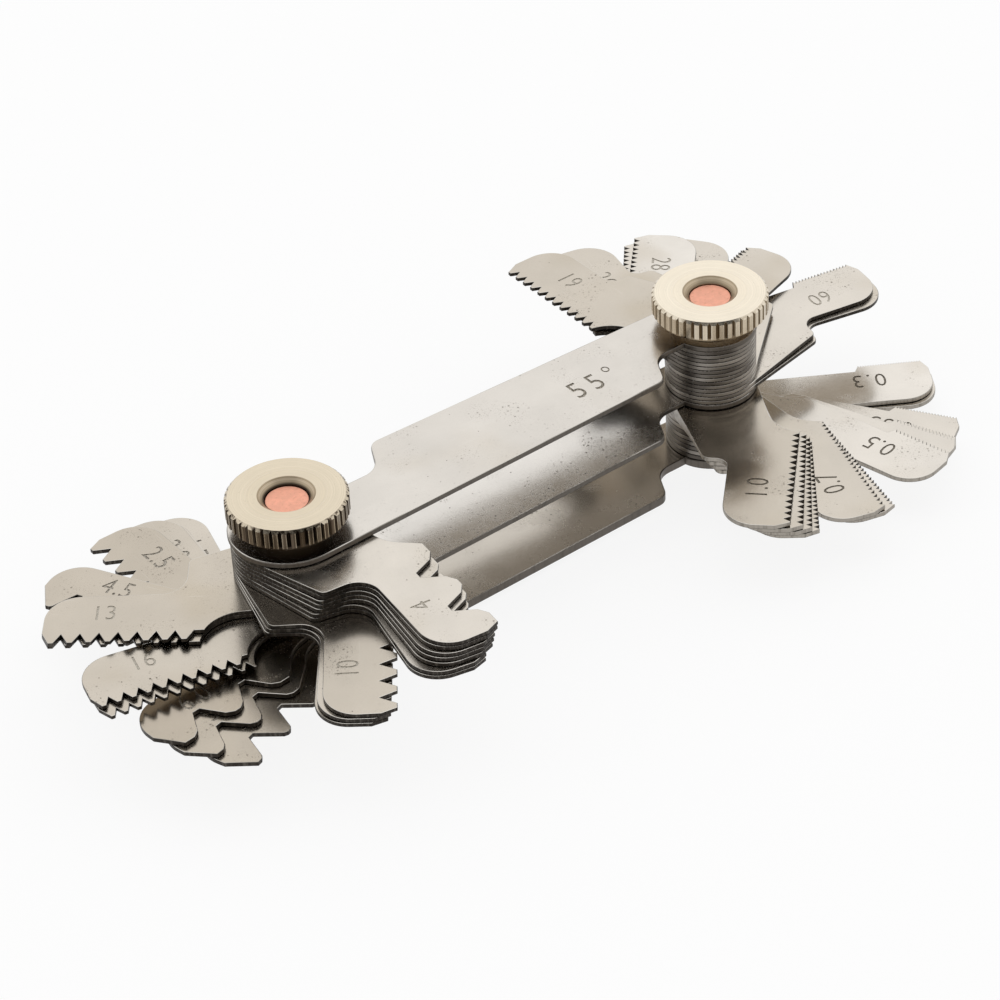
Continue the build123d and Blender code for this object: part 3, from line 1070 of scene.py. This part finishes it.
def add_blades(context, blades, center, digit_height, steel, groove, shift):
    """Add one fan of blades with their numbers."""
    sizes = context.scene.pitch_gauge_sizes
    for index, (node, (text, degrees, along, across, lightness)) in enumerate(blades.items()):
        turn = math.radians(degrees)
        blade = whole_copy(node, f"steel_{node}")
        break_edges(blade, sizes.blade_edge, 2, rim)
        blade.data.materials.append(steel)
        place = (
            center[0] + (along * math.cos(turn) - across * math.sin(turn)) * MM,
            center[1] + (along * math.sin(turn) + across * math.cos(turn)) * MM,
            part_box(node)[1][2],
        )
        cutter = number_cutter(
            text,
            digit_height,
            sizes.digit_width_share,
            sizes.digit_spacing * WIDE_SPACING.get(node, 1.0),
            sizes.digit_thinning,
            sizes.digit_depth,
            place,
            turn + math.pi,
        )
        stamp(blade, cutter, groove)
        smooth(blade)
        lay_flat_map(blade, center, turn, (shift + 7.3 * index, 1.9 * index), lightness)
        hand_over(blade, node, node.replace("_blade", ""))


class AddWhitworthBlades(bpy.types.Operator):
    """Add the upper tier of blades, a fan at each stud."""

    bl_idname = "pitch_gauge.add_whitworth_blades"
    bl_label = "Add Whitworth blades"

    def execute(self, context):
        sizes = context.scene.pitch_gauge_sizes
        colours = context.scene.pitch_gauge_colours
        height = sizes.inch_digit_height
        groove = groove_steel("whitworth_groove", colours.worn_groove, (0.35, 0.32, 0.27))
        coarse = rolled_steel(
            "whitworth_coarse_steel", colours.blade_steel, colours.sheared_edge_shade, 1.35, 0.8, 0.4, (0.63, 0.35)
        )
        fine = rolled_steel(
            "whitworth_fine_steel",
            colours.blade_steel,
            colours.sheared_edge_shade,
            1.2,
            0.8,
            0.45,
            (0.51, 0.6),
            colours.hub_wall_sheen,
        )
        pitted = rolled_steel(
            "whitworth_pitted_steel", colours.blade_steel, colours.sheared_edge_shade, 1.35, 1.0, 0.5, (0.63, 1.0)
        )
        add_blades(context, WHITWORTH_COARSE, stud_place("coarse_thumb_nut"), height, coarse, groove, 0.0)
        for number in (16, 18):
            bpy.data.objects[f"steel_whitworth_blade_{number}"].material_slots[0].material = pitted
        add_blades(context, WHITWORTH_FINE, stud_place("fine_thumb_nut"), height, fine, groove, 150.0)
        return {"FINISHED"}


class AddMetricBlades(bpy.types.Operator):
    """Add the lower tier of blades, a fan at each stud."""

    bl_idname = "pitch_gauge.add_metric_blades"
    bl_label = "Add metric blades"

    def execute(self, context):
        sizes = context.scene.pitch_gauge_sizes
        colours = context.scene.pitch_gauge_colours
        height = sizes.digit_height
        coarse_groove = groove_steel("metric_coarse_groove", colours.worn_groove, (0.12, 0.1, 0.08))
        fine_groove = groove_steel("metric_fine_groove", colours.deep_groove, (0.25, 0.22, 0.18))
        coarse = rolled_steel(
            "metric_coarse_steel", colours.blade_steel, colours.sheared_edge_shade, 1.57, 0.6, 0.35, (0.63, 0.7)
        )
        fine = rolled_steel(
            "metric_fine_steel",
            colours.blade_steel,
            colours.sheared_edge_shade,
            1.45,
            0.5,
            0.25,
            (0.51, 0.2),
            colours.hub_wall_sheen,
            back_tone=tuple(colours.thin_blade_back),
        )
        add_blades(
            context, METRIC_COARSE, stud_place("coarse_thumb_nut"), height, coarse, coarse_groove, 300.0
        )
        add_blades(context, METRIC_FINE, stud_place("fine_thumb_nut"), height, fine, fine_groove, 450.0)
        return {"FINISHED"}


class AddThumbNuts(bpy.types.Operator):
    """Add the two knurled thumb nuts."""

    bl_idname = "pitch_gauge.add_thumb_nuts"
    bl_label = "Add thumb nuts"

    def execute(self, context):
        sizes = context.scene.pitch_gauge_sizes
        colours = context.scene.pitch_gauge_colours
        # The glint tones given here are painted highlights on the ridges' corners; the coarse nut's knurl
        # takes a darker painted shade than the fine nut's
        dark = turned_nickel(
            "coarse_nut_nickel",
            colours.nickel,
            colours.dark_knurl,
            (0.6, 0.52, 0.4),
            colours.nut_shadow,
            KNURL_COUNT,
            KNURL_RADIUS,
        )
        bright = turned_nickel(
            "fine_nut_nickel",
            colours.bright_nickel,
            colours.bright_knurl,
            (0.76, 0.68, 0.55),
            (0.25, 0.195, 0.13),
            KNURL_COUNT,
            KNURL_RADIUS,
        )
        for node, body, nickel in (
            ("coarse_thumb_nut", "coarse_nut", dark),
            ("fine_thumb_nut", "fine_nut", bright),
        ):
            nut = whole_copy(node, f"turned_{node}")
            break_edges(nut, sizes.nut_edge, 1, corner)
            nut.data.materials.append(nickel)
            smooth(nut)
            lay_flat_map(nut, stud_place(node), 0.0, (0.0, 0.0))
            hand_over(nut, node, body)
        return {"FINISHED"}


class AddPivotStuds(bpy.types.Operator):
    """Add the two studs with their low round heads."""

    bl_idname = "pitch_gauge.add_pivot_studs"
    bl_label = "Add pivot studs"

    def execute(self, context):
        sizes = context.scene.pitch_gauge_sizes
        colours = context.scene.pitch_gauge_colours
        studs = whole_copy("pivot_studs", "copper_pivot_studs")
        break_edges(studs, sizes.stud_edge, 2, rim)
        studs.data.materials.append(matte_copper("matte_copper", colours.copper))
        smooth(studs)
        lay_flat_map(studs, (0, 0), 0.0, (0.0, 0.0))
        hand_over(studs, "pivot_studs", "frame")
        return {"FINISHED"}


class PitchGaugePanel(bpy.types.Panel):
    """The gauge's steps and settings in the sidebar."""

    bl_idname = "VIEW3D_PT_pitch_gauge"
    bl_label = "Pitch Gauge"
    bl_space_type = "VIEW_3D"
    bl_region_type = "UI"
    bl_category = "Pitch Gauge"

    def draw(self, context):
        column = self.layout.column()
        for step in STEPS:
            column.operator(step.bl_idname)
        for group in ("pitch_gauge_sizes", "pitch_gauge_colours", "pitch_gauge_studio"):
            settings = getattr(context.scene, group)
            box = self.layout.box()
            for name in settings.bl_rna.properties.keys():
                if name not in ("rna_type", "name"):
                    box.prop(settings, name)


STEPS = (
    AddStudio,
    AddBodyPlates,
    AddWhitworthBlades,
    AddMetricBlades,
    AddThumbNuts,
    AddPivotStuds,
)
CLASSES = (PitchGaugeSizes, PitchGaugeColours, PitchGaugeStudio, *STEPS, PitchGaugePanel)


def register():
    """Register the classes and hang the settings on the scene."""
    for kind in CLASSES:
        bpy.utils.register_class(kind)
    bpy.types.Scene.pitch_gauge_sizes = PointerProperty(type=PitchGaugeSizes)
    bpy.types.Scene.pitch_gauge_colours = PointerProperty(type=PitchGaugeColours)
    bpy.types.Scene.pitch_gauge_studio = PointerProperty(type=PitchGaugeStudio)


def unregister():
    """Take the settings and the classes away again."""
    del bpy.types.Scene.pitch_gauge_studio
    del bpy.types.Scene.pitch_gauge_colours
    del bpy.types.Scene.pitch_gauge_sizes
    for kind in reversed(CLASSES):
        bpy.utils.unregister_class(kind)


def main():
    """Build everything in order."""
    register()
    bpy.ops.pitch_gauge.add_studio()
    bpy.ops.pitch_gauge.add_body_plates()
    bpy.ops.pitch_gauge.add_whitworth_blades()
    bpy.ops.pitch_gauge.add_metric_blades()
    bpy.ops.pitch_gauge.add_thumb_nuts()
    bpy.ops.pitch_gauge.add_pivot_studs()


if __name__ == "__main__":
    main()
